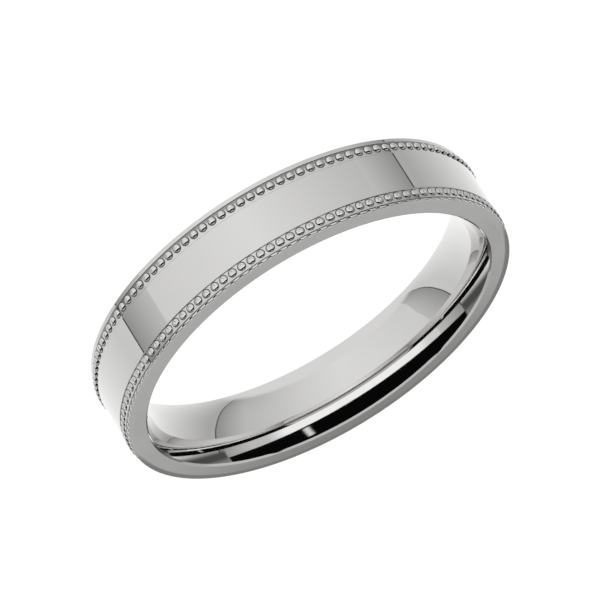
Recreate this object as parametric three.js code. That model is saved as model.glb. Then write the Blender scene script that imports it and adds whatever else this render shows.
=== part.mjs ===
// A polished comfort-fit wedding band with a row of milgrain beads along each edge.
// Millimetres. The bore axis is +Z and the origin is the centre of the bore at mid-width.
import * as THREE from 'three';

// Overall sizes
const boreRadius = 9.1;          // narrowest part of the bore, at mid-width
const bandThickness = 1.7;       // from there to the outside of the flat centre band
const bandWidth = 4.0;           // side face to side face, along the finger

// The bore wall
const comfortArcRadius = 3.8;    // curve of the wall across the width
const boreEdgeRadius = 0.06;     // rounding where the bore meets a side face

// The pieces soldered round the sleeve
const overlayThickness = 0.4;    // how deep they reach in from the outside
const solderGap = 0.03;          // clearance left for solder between two pieces
const patternShift = 0.07;       // how far above mid-width the turned pattern sits
const centreBandEdge = 0.04;     // chamfer on the centre band's two corners
const channelWidth = 0.6;        // from the centre band to an edge rail
const channelDepth = 0.1;        // channel floor below the centre band's surface
const railWidth = 0.235;         // mean width of the two edge rails
const railDrop = 0.08;           // top of a rail below the centre band's surface
const railEdge = 0.05;           // chamfer on a rail's two corners

// The milgrain
const beadCount = 122;           // beads in one row
const beadDiameter = 0.42;
const beadHeight = 0.12;         // above the channel floor

// Facets
const ringFacets = beadCount;
const facetsPerBead = 2;
const boreFacets = 3;            // from mid-width to a bore edge
const edgeFacets = 2;            // round a bore edge

const bandRadius = boreRadius + bandThickness;
const sleeveRadius = bandRadius - overlayThickness;
const overlayBoreRadius = sleeveRadius + solderGap;
const channelFloorRadius = bandRadius - channelDepth;
const railRadius = bandRadius - railDrop;
const halfWidth = bandWidth / 2;
const channelEnd = halfWidth - railWidth;
const channelStart = channelEnd - channelWidth;

function metal(color, roughness) {
  return new THREE.MeshStandardMaterial({ color, roughness, metalness: 1 });
}

const mirrorPolish = metal(0xd8d7d4, 0.05);
const softPolish = metal(0xbdbbb8, 0.12);
const beadPolish = metal(0xcfcdca, 0.1);

// A ring turned from a closed outline of [radius, height] points
function turnedRing(outline, facets) {
  const points = outline.map(([radius, height]) => new THREE.Vector2(radius, height));
  points.push(points[0].clone());
  const ring = new THREE.LatheGeometry(points, facets);
  ring.rotateX(Math.PI / 2);
  return ring;
}

// A rectangular outline round the sleeve, whose two outer corners are chamfered
function overlayOutline(outerRadius, bottom, top, chamfer) {
  return [
    [overlayBoreRadius, bottom],
    [outerRadius - chamfer, bottom],
    [outerRadius, bottom + chamfer],
    [outerRadius, top - chamfer],
    [outerRadius - chamfer, top],
    [overlayBoreRadius, top],
  ];
}

// Half of the bore wall: the comfort curve from mid-width, then the rounding into the upper side face
function upperBoreWall() {
  const curveCentre = boreRadius + comfortArcRadius;
  const edgeHeight = halfWidth - boreEdgeRadius;
  const centreDistance = comfortArcRadius - boreEdgeRadius;
  const joinAngle = Math.asin(edgeHeight / centreDistance);
  const edgeCentre = curveCentre - centreDistance * Math.cos(joinAngle);
  const wall = [];
  for (let i = 0; i <= boreFacets; i += 1) {
    const angle = (joinAngle * i) / boreFacets;
    wall.push([
      curveCentre - comfortArcRadius * Math.cos(angle),
      comfortArcRadius * Math.sin(angle),
    ]);
  }
  for (let i = 1; i <= edgeFacets; i += 1) {
    const angle = joinAngle + ((Math.PI / 2 - joinAngle) * i) / edgeFacets;
    wall.push([
      edgeCentre - boreEdgeRadius * Math.cos(angle),
      edgeHeight + boreEdgeRadius * Math.sin(angle),
    ]);
  }
  return wall;
}

// The inner sleeve: it holds the finger, makes both side faces and carries the other pieces
function comfortFitSleeve() {
  const upper = upperBoreWall();
  const lower = upper.slice(1).map(([radius, height]) => [radius, -height]);
  const outline = [
    ...upper.reverse(),
    ...lower,
    [sleeveRadius, -halfWidth],
    [sleeveRadius, halfWidth],
  ];
  return turnedRing(outline, ringFacets);
}

// The flat band between the two milgrain channels
function centreBand() {
  const bottom = patternShift - channelStart;
  const top = patternShift + channelStart;
  return turnedRing(overlayOutline(bandRadius, bottom, top, centreBandEdge), ringFacets);
}

// Drops the crest to the channel floor at every second facet, so one bead is left at each of the others
function notchBetweenBeads(wire, pointsPerFacet, crestRadius) {
  const position = wire.attributes.position;
  const drop = channelFloorRadius / crestRadius;
  for (let i = 0; i < position.count; i += 1) {
    const facet = Math.floor(i / pointsPerFacet);
    const radius = Math.hypot(position.getX(i), position.getY(i));
    const onCrest = crestRadius - radius < beadHeight / 2;
    if (onCrest && facet % facetsPerBead === 1) {
      position.setX(i, position.getX(i) * drop);
      position.setY(i, position.getY(i) * drop);
    }
  }
  return wire;
}

// The strip that fills a channel, with a row of beads raised along its middle.
// side is +1 for the upper edge of the ring and -1 for the lower one.
function milgrainWire(side) {
  const nearEnd = patternShift + side * (channelStart + solderGap);
  const farEnd = patternShift + side * (channelEnd - solderGap);
  const bottom = Math.min(nearEnd, farEnd);
  const top = Math.max(nearEnd, farEnd);
  const middle = (bottom + top) / 2;
  const crestRadius = channelFloorRadius + beadHeight;
  const crestHalf = beadDiameter / 4;
  const footHalf = beadDiameter / 2;
  const outline = [
    [overlayBoreRadius, bottom],
    [channelFloorRadius, bottom],
    [channelFloorRadius, middle - footHalf],
    [crestRadius, middle - crestHalf],
    [crestRadius, middle + crestHalf],
    [channelFloorRadius, middle + footHalf],
    [channelFloorRadius, top],
    [overlayBoreRadius, top],
  ];
  const wire = turnedRing(outline, beadCount * facetsPerBead);
  return notchBetweenBeads(wire, outline.length + 1, crestRadius);
}

// The thin rail that closes a channel at the ring's edge
function edgeRail(side) {
  const inner = patternShift + side * channelEnd;
  const outer = side * halfWidth;
  const bottom = Math.min(inner, outer);
  const top = Math.max(inner, outer);
  return turnedRing(overlayOutline(railRadius, bottom, top, railEdge), ringFacets);
}

function part(name, geometry, material) {
  const mesh = new THREE.Mesh(geometry, material.clone());
  mesh.name = name;
  return mesh;
}

const weddingBand = new THREE.Group();
weddingBand.add(part('comfort_fit_sleeve', comfortFitSleeve(), mirrorPolish));
weddingBand.add(part('centre_band', centreBand(), mirrorPolish));
for (const [place, side] of [['upper', 1], ['lower', -1]]) {
  weddingBand.add(part(`${place}_milgrain_wire`, milgrainWire(side), beadPolish));
  weddingBand.add(part(`${place}_edge_rail`, edgeRail(side), softPolish));
}

export default weddingBand;
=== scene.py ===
from math import cos, pi, radians, sin, tan, tau

import bmesh
import bpy
from mathutils import Matrix, Vector


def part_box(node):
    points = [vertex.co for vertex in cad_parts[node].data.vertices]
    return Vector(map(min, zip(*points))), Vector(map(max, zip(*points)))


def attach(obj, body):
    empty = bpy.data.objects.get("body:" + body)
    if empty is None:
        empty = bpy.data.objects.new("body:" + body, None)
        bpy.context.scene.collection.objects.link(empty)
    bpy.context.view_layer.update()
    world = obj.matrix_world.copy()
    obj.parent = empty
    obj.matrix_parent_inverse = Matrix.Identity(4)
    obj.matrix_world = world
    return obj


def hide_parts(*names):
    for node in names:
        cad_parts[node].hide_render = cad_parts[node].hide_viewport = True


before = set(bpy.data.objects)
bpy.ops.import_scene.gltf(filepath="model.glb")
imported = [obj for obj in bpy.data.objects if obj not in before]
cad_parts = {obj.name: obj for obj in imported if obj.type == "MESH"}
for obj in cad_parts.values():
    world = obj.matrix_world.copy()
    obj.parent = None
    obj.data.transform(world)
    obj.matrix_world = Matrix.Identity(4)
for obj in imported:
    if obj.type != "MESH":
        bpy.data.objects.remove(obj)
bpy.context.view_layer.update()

mm = 0.001
mergeDistance = 1e-7
ringSteps = 720

# Sizes that several pieces share, taken from the frame
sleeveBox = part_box("comfort_fit_sleeve")
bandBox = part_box("centre_band")
halfWidth = sleeveBox[1].z
sleeveRadius = sleeveBox[1].x
bandRadius = bandBox[1].x
channelDepth = 0.05 * mm
channelFloor = bandRadius - channelDepth

print("wedding band: frame loaded, band radius", round(bandRadius / mm, 3), "mm")


def clearSelection():
    if bpy.context.object and bpy.context.object.mode != "OBJECT":
        bpy.ops.object.mode_set(mode="OBJECT")
    bpy.ops.object.select_all(action="DESELECT")


def nameNewPiece(name):
    piece = bpy.context.object
    piece.name = name
    piece.data.name = name
    bpy.ops.object.transform_apply(location=True, rotation=True, scale=True)
    bpy.ops.object.mode_set(mode="EDIT")
    return piece


def pickPoints(piece, wanted):
    bpy.ops.mesh.select_mode(type="VERT")
    mesh = bmesh.from_edit_mesh(piece.data)
    for point in mesh.verts:
        point.select = wanted(point.co)
    mesh.select_flush_mode()
    bmesh.update_edit_mesh(piece.data)


def near(co, x, z):
    return abs(co.x - x) < 2e-6 and abs(co.z - z) < 2e-6


# Draws on from the selected end of an outline with straight lines
def drawTo(piece, corners):
    mesh = bmesh.from_edit_mesh(piece.data)
    place = next(point.co.copy() for point in mesh.verts if point.select)
    for x, z in corners:
        step = (x - place.x, 0, z - place.z)
        bpy.ops.mesh.extrude_vertices_move(TRANSFORM_OT_translate={"value": step})
        place = Vector((x, 0, z))


# Turns the outline in the XZ plane into a ring about the finger axis
def turnOnLathe():
    bpy.ops.mesh.select_all(action="SELECT")
    bpy.ops.mesh.spin(steps=ringSteps, angle=tau, center=(0, 0, 0), axis=(0, 0, 1))
    bpy.ops.mesh.select_all(action="SELECT")
    bpy.ops.mesh.remove_doubles(threshold=mergeDistance)
    bpy.ops.mesh.normals_make_consistent(inside=False)


# Extra points beside the roundings keep the flat between them truly flat when shaded
def holdFlat(piece, x, bottom, top, gap):
    pickPoints(piece, lambda co: near(co, x, bottom) or near(co, x, top))
    bpy.ops.mesh.subdivide(number_cuts=2)
    third = (top - bottom) / 3
    for start, wanted in ((bottom + third, bottom + gap), (top - third, top - gap)):
        pickPoints(piece, lambda co: near(co, x, start))
        bpy.ops.transform.translate(value=(0, 0, wanted - start))


def finishPiece(piece, node, material, smoothAngle=32):
    clearSelection()
    piece.select_set(True)
    bpy.context.view_layer.objects.active = piece
    bpy.ops.object.shade_smooth_by_angle(angle=radians(smoothAngle))
    piece.data.materials.clear()
    piece.data.materials.append(material)
    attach(piece, "root")
    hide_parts(node)
    print("  ", piece.name, "has", len(piece.data.polygons), "faces")


# Shader helpers: a value may be a number or another node's socket
def plug(tree, socket, value):
    if isinstance(value, (int, float)):
        socket.default_value = value
    else:
        tree.links.new(value, socket)


def calc(tree, operation, *values):
    node = tree.nodes.new("ShaderNodeMath")
    node.operation = operation
    for socket, value in zip(node.inputs, values):
        plug(tree, socket, value)
    return node.outputs[0]


def scaleRange(tree, value, low, high, newLow=0.0, newHigh=1.0, smooth=False):
    node = tree.nodes.new("ShaderNodeMapRange")
    if smooth:
        node.interpolation_type = "SMOOTHSTEP"
    plug(tree, node.inputs["Value"], value)
    node.inputs["From Min"].default_value = low
    node.inputs["From Max"].default_value = high
    node.inputs["To Min"].default_value = newLow
    node.inputs["To Max"].default_value = newHigh
    return node.outputs[0]


def fade(tree, value, low, high):
    return scaleRange(tree, value, low, high, smooth=True)


def blend(tree, factor, a, b):
    node = tree.nodes.new("ShaderNodeMix")
    node.data_type = "FLOAT"
    plug(tree, node.inputs[0], factor)
    plug(tree, node.inputs[2], a)
    plug(tree, node.inputs[3], b)
    return node.outputs[0]


# Distance from the finger axis, turn about it and height, from Object coordinates
def ringPlace(tree):
    place = tree.nodes.new("ShaderNodeTexCoord").outputs["Object"]
    parts = tree.nodes.new("ShaderNodeSeparateXYZ")
    tree.links.new(place, parts.inputs[0])
    x, y, z = parts.outputs
    across = calc(tree, "ADD", calc(tree, "MULTIPLY", x, x), calc(tree, "MULTIPLY", y, y))
    return place, calc(tree, "SQRT", across), calc(tree, "ARCTAN2", y, x), z


def addNoise(tree, vector, scale, detail=3.0):
    node = tree.nodes.new("ShaderNodeTexNoise")
    tree.links.new(vector, node.inputs["Vector"])
    node.inputs["Scale"].default_value = scale
    node.inputs["Detail"].default_value = detail
    return node.outputs["Fac"]


# Polished white gold: cloudy roughness, polishing lines round the ring, hairline wear
def newFinish(name, look):
    finish = bpy.data.materials.new(name)
    finish.use_nodes = True
    tree = finish.node_tree
    shader = tree.nodes["Principled BSDF"]
    shader.inputs["Metallic"].default_value = 1
    place, radius, turn, height = ringPlace(tree)
    cloud = addNoise(tree, place, look["cloudScale"])
    lathe = tree.nodes.new("ShaderNodeCombineXYZ")
    plug(tree, lathe.inputs[0], radius)
    plug(tree, lathe.inputs[1], calc(tree, "MULTIPLY", turn, look["lineStretch"]))
    plug(tree, lathe.inputs[2], height)
    lines = addNoise(tree, lathe.outputs[0], look["lineScale"], 2.0)
    scuffs = addNoise(tree, place, look["scuffScale"], 5.0)
    hairline = calc(tree, "MULTIPLY", fade(tree, lines, 0.64, 0.7), fade(tree, scuffs, 0.5, 0.62))
    roughness = scaleRange(tree, cloud, 0.3, 0.7, look["smoothest"], look["roughest"])
    roughness = calc(tree, "ADD", roughness, calc(tree, "MULTIPLY", hairline, look["wear"]))
    plug(tree, shader.inputs["Roughness"], roughness)
    tint = tree.nodes.new("ShaderNodeMix")
    tint.data_type = "RGBA"
    darkened = [part * 0.93 for part in look["base"]]
    tint.inputs["A"].default_value = (*look["base"], 1)
    tint.inputs["B"].default_value = (*darkened, 1)
    mottle = calc(tree, "MULTIPLY", fade(tree, cloud, 0.35, 0.75), look["mottle"])
    plug(tree, tint.inputs["Factor"], calc(tree, "MAXIMUM", calc(tree, "MULTIPLY", hairline, 0.5), mottle))
    plug(tree, shader.inputs["Base Color"], tint.outputs["Result"])
    bump = tree.nodes.new("ShaderNodeBump")
    bump.inputs["Strength"].default_value = look["bump"]
    bump.inputs["Distance"].default_value = 0.001 * mm
    plug(tree, bump.inputs["Height"], calc(tree, "ADD", lines, calc(tree, "MULTIPLY", cloud, 0.5)))
    plug(tree, shader.inputs["Normal"], bump.outputs[0])
    return finish, tint, (radius, turn, height)


whiteGold = (0.83, 0.825, 0.812)


# Comfort-fit sleeve: curved bore, two flat side faces
sleeve = {
    "boreRadius": 9.1 * mm,
    "comfortArc": 3.8 * mm,
    "bevelStart": radians(30.3),   # turn of the comfort arc at which the bevel begins
    "bevelTilt": radians(50),      # the bevel's own lean from the finger axis
    "bevelRound": 0.04 * mm,       # softening at both ends of the bevel
    "bevelPoints": 5,
    "arcPoints": 240,              # in a whole turn of the comfort arc
    "loopGap": 0.02 * mm,
    "finish": {
        "base": whiteGold,
        "smoothest": 0.025,
        "roughest": 0.05,
        "cloudScale": 260,
        "lineScale": 9000,
        "lineStretch": 0.0006,
        "scuffScale": 500,
        "wear": 0.05,
        "bump": 0.15,
        "mottle": 0.7,
    },
}


def makeSleeve(name):
    arc = sleeve["comfortArc"]
    start = sleeve["bevelStart"]
    tilt = sleeve["bevelTilt"]
    soft = sleeve["bevelRound"]
    arcCentre = sleeve["boreRadius"] + arc
    startX = arcCentre - arc * cos(start)
    startZ = arc * sin(start)
    # the bevel's first rounding, its flat, and the rounding into the side face
    firstX = startX + soft * cos(start)
    firstZ = startZ - soft * sin(start)
    flatX = firstX - soft * cos(tilt)
    flatZ = firstZ + soft * sin(tilt)
    flatEndZ = halfWidth - soft + soft * sin(tilt)
    flatEndX = flatX + (flatEndZ - flatZ) * tan(tilt)
    faceX = flatEndX + soft * cos(tilt)
    clearSelection()
    bpy.ops.mesh.primitive_circle_add(
        vertices=sleeve["arcPoints"], radius=arc,
        location=(arcCentre, 0, 0), rotation=(pi / 2, 0, 0))
    piece = nameNewPiece(name)
    pickPoints(piece, lambda co: co.x > startX - 0.02 * mm)
    bpy.ops.mesh.delete(type="VERT")
    mesh = bmesh.from_edit_mesh(piece.data)
    lastZ = max(point.co.z for point in mesh.verts)
    lastX = max(point.co.x for point in mesh.verts)
    for side in (1, -1):
        pickPoints(piece, lambda co: near(co, lastX, side * lastZ))
        drawTo(piece, [(startX, side * startZ)])
        bpy.ops.mesh.spin(
            steps=sleeve["bevelPoints"], angle=-side * (tilt - start),
            center=(firstX, 0, side * firstZ), axis=(0, 1, 0))
        pickPoints(piece, lambda co: near(co, flatX, side * flatZ))
        drawTo(piece, [(flatEndX, side * flatEndZ)])
        bpy.ops.mesh.spin(
            steps=sleeve["bevelPoints"], angle=-side * (pi / 2 - tilt),
            center=(faceX, 0, side * (halfWidth - soft)), axis=(0, 1, 0))
        pickPoints(piece, lambda co: near(co, faceX, side * halfWidth))
        drawTo(piece, [
            (faceX + sleeve["loopGap"], side * halfWidth),
            (sleeveRadius - sleeve["loopGap"], side * halfWidth),
            (sleeveRadius, side * halfWidth)])
    pickPoints(piece, lambda co: co.x > sleeveRadius - 1e-6)
    bpy.ops.mesh.edge_face_add()
    turnOnLathe()
    material = newFinish("borePolish", sleeve["finish"])[0]
    finishPiece(piece, "comfort_fit_sleeve", material)


print("modelling the sleeve")
makeSleeve("boreSleeve")


# A turned ring with a rectangular outline, its two outer corners rounded
def makeOverlayRing(name, ends, outerRadius, edgeRound, edgePoints, loopGap):
    bottom, top = ends
    clearSelection()
    bpy.ops.mesh.primitive_plane_add(
        size=1, location=((outerRadius + sleeveRadius) / 2, 0, (top + bottom) / 2),
        rotation=(pi / 2, 0, 0))
    bpy.context.object.scale = (outerRadius - sleeveRadius, top - bottom, 1)
    piece = nameNewPiece(name)
    pickPoints(piece, lambda co: co.x > outerRadius - 1e-6)
    bpy.ops.mesh.bevel(
        offset=edgeRound, offset_type="OFFSET", segments=edgePoints, affect="VERTICES")
    bpy.ops.mesh.select_all(action="SELECT")
    bpy.ops.mesh.delete(type="ONLY_FACE")
    holdFlat(piece, outerRadius, bottom + edgeRound, top - edgeRound, loopGap)
    turnOnLathe()
    return piece


# Centre band: flat mirror with barely broken edges
centreBand = {
    "ends": (-1.068 * mm, 1.262 * mm),
    "edgeRound": 0.03 * mm,
    "edgePoints": 5,
    "loopGap": 0.015 * mm,
    "finish": {
        "base": whiteGold,
        "smoothest": 0.02,
        "roughest": 0.045,
        "cloudScale": 240,
        "lineScale": 9000,
        "lineStretch": 0.0006,
        "scuffScale": 450,
        "wear": 0.06,
        "bump": 0.12,
        "mottle": 0.15,
    },
}

print("modelling the centre band")
band = makeOverlayRing(
    "mirrorBand", centreBand["ends"], bandRadius,
    centreBand["edgeRound"], centreBand["edgePoints"], centreBand["loopGap"])
bandFinish = newFinish("mirrorPolish", centreBand["finish"])[0]
finishPiece(band, "centre_band", bandFinish)


# Edge rails: thin rounded walls outside the beads
edgeRails = {
    "upper": {"ends": (1.836 * mm, halfWidth), "edgeRound": 0.06 * mm},
    "lower": {"ends": (-halfWidth, -1.700 * mm), "edgeRound": 0.08 * mm},
    "drop": 0.065 * mm,
    "edgePoints": 6,
    "loopGap": 0.006 * mm,
    "scallop": {"count": 122, "phase": 0.38, "length": 0.3, "slope": 0.75},
    "finish": {
        "base": whiteGold,
        "smoothest": 0.015,
        "roughest": 0.045,
        "cloudScale": 500,
        "lineScale": 12000,
        "lineStretch": 0.0008,
        "scuffScale": 900,
        "wear": 0.12,
        "bump": 0.2,
        "mottle": 0.3,
    },
}


# The beading wheel also pressed the upper rail down a little beside each gap between beads
def addScallops(finish, place):
    tree = finish.node_tree
    radius, turn, height = place
    scallop = edgeRails["scallop"]
    phase = calc(tree, "MULTIPLY", turn, scallop["count"] / tau)
    phase = calc(tree, "FRACT", calc(tree, "ADD", phase, 100.5 - scallop["phase"]))
    apart = calc(tree, "ABSOLUTE", calc(tree, "SUBTRACT", phase, 0.5))
    pressed = fade(tree, apart, scallop["length"], 0.4 * scallop["length"])
    slope = calc(tree, "SUBTRACT", height, edgeRails["upper"]["ends"][0])
    slope = calc(tree, "MULTIPLY", slope, -scallop["slope"])
    railTop = bandRadius - edgeRails["drop"]
    onTop = fade(tree, radius, railTop - 0.04 * mm, railTop - 0.02 * mm)
    onTop = calc(tree, "MULTIPLY", onTop, calc(tree, "GREATER_THAN", height, 0))
    depth = calc(tree, "MULTIPLY", calc(tree, "MULTIPLY", slope, pressed), onTop)
    bump = tree.nodes.new("ShaderNodeBump")
    bump.inputs["Strength"].default_value = 1
    bump.inputs["Distance"].default_value = 1
    plug(tree, bump.inputs["Height"], depth)
    shader = tree.nodes["Principled BSDF"]
    plug(tree, bump.inputs["Normal"], shader.inputs["Normal"].links[0].from_socket)
    plug(tree, shader.inputs["Normal"], bump.outputs[0])


print("modelling the edge rails")
railFinish, _, railPlace = newFinish("railPolish", edgeRails["finish"])
addScallops(railFinish, railPlace)
for place in ("upper", "lower"):
    rail = edgeRails[place]
    piece = makeOverlayRing(
        place + "EdgeRail", rail["ends"], bandRadius - edgeRails["drop"],
        rail["edgeRound"], edgeRails["edgePoints"], edgeRails["loopGap"])
    finishPiece(piece, place + "_edge_rail", railFinish)


# Milgrain wires: a flat strip in the channel with a row of round beads on it
milgrain = {
    "beadCount": 122,
    "beadRadius": 0.21 * mm,
    "beadSides": 12,
    "beadRings": 8,
    "upper": {
        "ends": (centreBand["ends"][1], edgeRails["upper"]["ends"][0]),
        "middle": 1.512 * mm,
        "height": 0.085 * mm,
        "dimple": 0.055 * mm,   # the milgrain wheel's mark on top
        "turn": radians(-0.35),
        # strength of the painted shade in the channel corners and on the strip beside the rail
        "cornerShade": 0.4,
        "railSideShade": 0.1,
    },
    "lower": {
        "ends": (edgeRails["lower"]["ends"][1], centreBand["ends"][0]),
        "middle": -1.426 * mm,
        "height": 0.135 * mm,
        "dimple": 0,
        "turn": 0,
        # strength of the painted shade in the channel corners and on the strip beside the rail
        "cornerShade": 0.85,
        "railSideShade": 0.6,
    },
    "finish": {
        "base": whiteGold,
        "smoothest": 0.01,
        "roughest": 0.035,
        "cloudScale": 700,
        "lineScale": 12000,
        "lineStretch": 0.01,
        "scuffScale": 1500,
        "wear": 0.1,
        "bump": 0.15,
        "mottle": 0.3,
    },
    # near-black colour of the painted shade at the beads' feet, in the channel corners and beside the rail
    "shadeColour": (0.06, 0.058, 0.055),
}


# Painted shade: a dark ring round the foot of each bead, darker corners of the channel and a darker strip
# beside the rail, mixed into the metal's colour
def paintBeadShade(finish, tint, place, row):
    tree = finish.node_tree
    radius, turn, height = place
    count = milgrain["beadCount"]
    bead = calc(tree, "MULTIPLY", calc(tree, "SUBTRACT", turn, row["turn"]), count / tau)
    bead = calc(tree, "FRACT", calc(tree, "ADD", bead, 0.5))
    along = calc(tree, "MULTIPLY", calc(tree, "SUBTRACT", bead, 0.5), tau * channelFloor / count)
    across = calc(tree, "SUBTRACT", height, row["middle"])
    apart = calc(tree, "ADD", calc(tree, "MULTIPLY", along, along), calc(tree, "MULTIPLY", across, across))
    apart = calc(tree, "DIVIDE", calc(tree, "SQRT", apart), milgrain["beadRadius"])
    footShade = calc(tree, "MULTIPLY", fade(tree, apart, 0.9, 0.98), fade(tree, apart, 1.22, 1.08))
    low = calc(tree, "SUBTRACT", height, row["ends"][0])
    high = calc(tree, "SUBTRACT", row["ends"][1], height)
    # painted shade in the channel's corners beside the band and the rail
    corner = fade(tree, calc(tree, "MINIMUM", low, high), 0.035 * mm, 0.005 * mm)
    # painted shade: the strip beside the rail is painted darker than the one beside the centre band
    outward = calc(tree, "MULTIPLY", across, 1 if row["middle"] > 0 else -1)
    railSide = fade(tree, outward, 0.02 * mm, 0.2 * mm)
    onFloor = fade(tree, apart, 0.95, 1.05)
    darkened = calc(tree, "MULTIPLY", calc(tree, "MULTIPLY", railSide, onFloor), row["railSideShade"])
    corner = calc(tree, "MULTIPLY", corner, row["cornerShade"])
    amount = calc(tree, "MAXIMUM", calc(tree, "MULTIPLY", footShade, 0.88), corner)
    amount = calc(tree, "MAXIMUM", amount, darkened)
    shadeMix = tree.nodes.new("ShaderNodeMix")
    shadeMix.data_type = "RGBA"
    plug(tree, shadeMix.inputs["Factor"], amount)
    plug(tree, shadeMix.inputs["A"], tint.outputs["Result"])
    shadeMix.inputs["B"].default_value = (*milgrain["shadeColour"], 1)
    plug(tree, tree.nodes["Principled BSDF"].inputs["Base Color"], shadeMix.outputs["Result"])


def makeMilgrain(place):
    row = milgrain[place]
    radius = milgrain["beadRadius"]
    count = milgrain["beadCount"]
    outward = Vector((cos(row["turn"]), sin(row["turn"]), 0))
    clearSelection()
    bpy.ops.mesh.primitive_uv_sphere_add(
        segments=milgrain["beadSides"], ring_count=milgrain["beadRings"], radius=radius,
        location=outward * channelFloor + Vector((0, 0, row["middle"])),
        rotation=(0, pi / 2, row["turn"]), scale=(1, 1, row["height"] / radius))
    bead = nameNewPiece(place + "Beads")
    pickPoints(bead, lambda co: co.dot(outward) < channelFloor - 1e-7)
    bpy.ops.mesh.delete(type="VERT")
    pickPoints(bead, lambda co: co.dot(outward) < channelFloor + 1e-7)
    bpy.ops.mesh.edge_face_add()
    pickPoints(bead, lambda co: co.dot(outward) > channelFloor + row["height"] - 1e-7)
    bpy.ops.transform.translate(value=outward * -row["dimple"])
    bpy.ops.mesh.select_all(action="SELECT")
    bpy.ops.mesh.normals_make_consistent(inside=False)
    bpy.ops.mesh.spin(
        steps=count - 1, dupli=True, angle=tau * (count - 1) / count,
        center=(0, 0, 0), axis=(0, 0, 1))
    strip = makeOverlayRing(
        place + "MilgrainWire", row["ends"], channelFloor, 0.004 * mm, 1, 0.01 * mm)
    clearSelection()
    bead.select_set(True)
    strip.select_set(True)
    bpy.context.view_layer.objects.active = strip
    bpy.ops.object.join()
    finish, tint, shaderPlace = newFinish(place + "BeadPolish", milgrain["finish"])
    # paints shade round the beads' feet, in the channel corners and beside the rail
    paintBeadShade(finish, tint, shaderPlace, row)
    finishPiece(strip, place + "_milgrain_wire", finish, 40)


print("modelling the milgrain wires")
makeMilgrain("upper")
makeMilgrain("lower")


# Linear light level of a grey tone from 0 to 255
def tone(shown):
    return ((shown / 255 + 0.055) / 1.055) ** 2.4


def addRamp(tree, value, stops):
    low = stops[0][0]
    high = stops[-1][0]
    ramp = tree.nodes.new("ShaderNodeValToRGB")
    tree.links.new(scaleRange(tree, value, low, high), ramp.inputs[0])
    elements = ramp.color_ramp.elements
    elements.remove(elements[1])
    for i, (place, shown) in enumerate(stops):
        where = (place - low) / (high - low)
        element = elements[0] if i == 0 else elements.new(where)
        element.position = where
        level = tone(shown)
        element.color = (level, level, level, 1)
    return ramp.outputs[0]


def glowMaterial(name, strength):
    glow = bpy.data.materials.new(name)
    glow.use_nodes = True
    nodes = glow.node_tree.nodes
    nodes.clear()
    emission = nodes.new("ShaderNodeEmission")
    emission.inputs["Strength"].default_value = strength
    output = nodes.new("ShaderNodeOutputMaterial")
    glow.node_tree.links.new(emission.outputs[0], output.inputs[0])
    return glow


print("building the floor and the light tent")
clearSelection()
bpy.ops.mesh.primitive_plane_add(size=6, location=(0, 0, -halfWidth))
floor = bpy.context.object
floor.name = "paleFloor"
floor.data.materials.append(glowMaterial("paleFloor", 1.05))
floor.visible_glossy = False
floor.visible_diffuse = False
floor.visible_shadow = False

# A light tent: a pale sweep all round, a grey panel with a dark seam at each side, black round the camera.
# Directions are in degrees from the camera, positive to the right; tones are as polished metal shows them
tent = {
    "radius": 1.2,
    "reflectance": 0.81,
    "sweep": [(-180, 240), (-100, 165), (0, 215), (100, 195), (180, 240)],
    "panels": [
        {"side": -1, "inner": 69, "seam": 94},
        {"side": 1, "inner": 66, "seam": 90},
    ],
    "panelTones": (185, 140),     # at its inner edge and beside its seam
    "panelLean": 0.0155,          # the panels lean outwards towards the floor
    "seamLean": 0.0085,
    "seamHalf": 0.6,
    "seamTone": 50,
    "leanFoot": -26,              # height below which they lean
    "underTone": 210,
    "frontTone": 235,
    "backTones": (70, 119, 166),  # low wall, middle wall, upper wall
    "topTone": 185,
    "blackFoot": 14,
    "blackHead": 60,
    "blackLevel": 0.002,
    "stripTurn": -35,
    "stripTone": 205,
}


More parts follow.
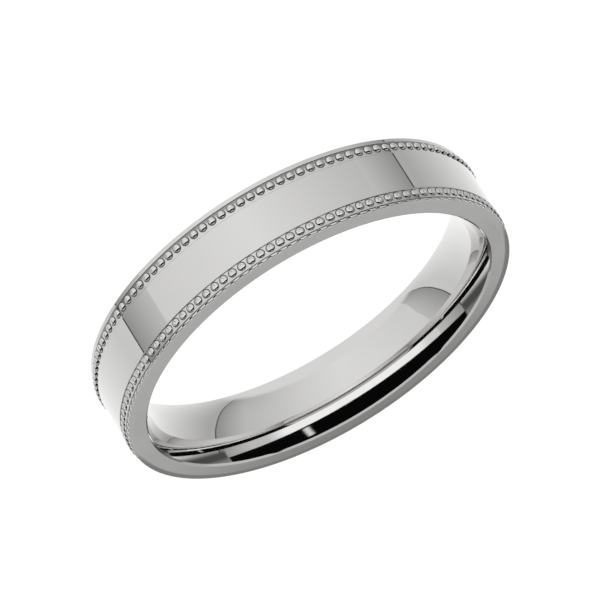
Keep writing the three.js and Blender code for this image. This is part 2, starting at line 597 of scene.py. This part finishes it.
def paintTent():
    paint = bpy.data.materials.new("tentPaint")
    paint.use_nodes = True
    tree = paint.node_tree
    tree.nodes.clear()
    unit = tree.nodes.new("ShaderNodeVectorMath")
    unit.operation = "NORMALIZE"
    tree.links.new(tree.nodes.new("ShaderNodeTexCoord").outputs["Object"], unit.inputs[0])
    parts = tree.nodes.new("ShaderNodeSeparateXYZ")
    tree.links.new(unit.outputs[0], parts.inputs[0])
    x, y, z = parts.outputs
    turn = calc(tree, "ARCTAN2", x, calc(tree, "MULTIPLY", y, -1))
    turn = calc(tree, "MULTIPLY", turn, 180 / pi)
    height = calc(tree, "MULTIPLY", calc(tree, "ARCSINE", z), 180 / pi)
    aside = calc(tree, "ABSOLUTE", turn)

    level = addRamp(tree, turn, tent["sweep"])
    low = calc(tree, "MAXIMUM", calc(tree, "SUBTRACT", tent["leanFoot"], height), 0)
    low = calc(tree, "MULTIPLY", low, low)
    for panel in tent["panels"]:
        across = calc(tree, "MULTIPLY", turn, panel["side"])
        inner = calc(tree, "SUBTRACT", across, calc(tree, "MULTIPLY", low, tent["panelLean"]))
        outer = calc(tree, "SUBTRACT", across, calc(tree, "MULTIPLY", low, tent["seamLean"]))
        innerTone, outerTone = tent["panelTones"]
        grey = scaleRange(tree, outer, panel["inner"], panel["seam"], tone(innerTone), tone(outerTone))
        onPanel = calc(
            tree, "MULTIPLY", fade(tree, inner, panel["inner"] - 0.3, panel["inner"] + 0.3),
            calc(tree, "LESS_THAN", outer, panel["seam"]))
        level = blend(tree, onPanel, level, grey)
        fromSeam = calc(tree, "ABSOLUTE", calc(tree, "SUBTRACT", outer, panel["seam"]))
        onSeam = fade(tree, fromSeam, tent["seamHalf"], tent["seamHalf"] / 2)
        level = blend(tree, onSeam, level, tone(tent["seamTone"]))

    # plain sweep under the ring, and a bright front just above the horizon
    level = blend(tree, fade(tree, height, -56, -62), level, tone(tent["underTone"]))
    front = calc(tree, "MULTIPLY", fade(tree, height, -4, 4), fade(tree, aside, 60, 45))
    level = blend(tree, front, level, tone(tent["frontTone"]))

    # back of the room, darker low down
    lowTone, middleTone, upperTone = tent["backTones"]
    back = blend(tree, fade(tree, height, 25.0, 25.75), tone(middleTone), tone(upperTone))
    back = blend(tree, fade(tree, height, 18, 12), back, tone(lowTone))
    backMask = calc(tree, "MULTIPLY", fade(tree, height, 1, 8), fade(tree, aside, 89, 91))
    level = blend(tree, backMask, level, back)
    level = blend(tree, fade(tree, height, 34, 40), level, tone(tent["topTone"]))

    # black camera side, with one soft strip light in it
    black = calc(
        tree, "MULTIPLY", fade(tree, height, tent["blackFoot"] - 0.5, tent["blackFoot"] + 0.5),
        fade(tree, aside, 90, 89))
    black = calc(
        tree, "MULTIPLY", black, fade(tree, height, tent["blackHead"] + 1.5, tent["blackHead"] - 1.5))
    level = blend(tree, black, level, tent["blackLevel"])
    beside = calc(tree, "ABSOLUTE", calc(tree, "SUBTRACT", turn, tent["stripTurn"]))
    strip = calc(tree, "MULTIPLY", fade(tree, beside, 3.5, 0.5), fade(tree, height, 31, 29))
    strip = calc(tree, "MULTIPLY", strip, fade(tree, height, 15.5, 17))
    level = blend(tree, strip, level, tone(tent["stripTone"]))

    emission = tree.nodes.new("ShaderNodeEmission")
    tree.links.new(level, emission.inputs["Color"])
    emission.inputs["Strength"].default_value = 1 / tent["reflectance"]
    output = tree.nodes.new("ShaderNodeOutputMaterial")
    tree.links.new(emission.outputs[0], output.inputs[0])
    return paint


clearSelection()
bpy.ops.mesh.primitive_uv_sphere_add(segments=48, ring_count=24, radius=tent["radius"])
lightTent = bpy.context.object
lightTent.name = "lightTent"
lightTent.data.materials.append(paintTent())
lightTent.visible_camera = False
lightTent.visible_shadow = False

world = bpy.data.worlds.new("paleRoom")
world.use_nodes = True
world.node_tree.nodes["Background"].inputs["Color"].default_value = (1, 1, 1, 1)
bpy.context.scene.world = world
bpy.context.scene.view_settings.view_transform = "Standard"

print("placing the camera")
camera = {
    "aim": (-0.227 * mm, -0.195 * mm, -0.4 * mm),
    "distance": 486.3 * mm,
    "elevation": radians(26.05),
    "roll": radians(148.09),
    "lens": 589.3,
}
bpy.ops.object.camera_add()
viewCamera = bpy.context.object
viewCamera.name = "viewCamera"
tilt = Matrix.Rotation(pi / 2 - camera["elevation"], 4, "X") @ Matrix.Rotation(camera["roll"], 4, "Z")
backward = tilt.to_3x3() @ Vector((0, 0, 1))
viewCamera.matrix_world = Matrix.Translation(Vector(camera["aim"]) + backward * camera["distance"]) @ tilt
viewCamera.data.lens = camera["lens"]
viewCamera.data.sensor_width = 36
viewCamera.data.clip_start = 0.01
viewCamera.data.clip_end = 20
bpy.context.scene.camera = viewCamera

print("wedding band: done")
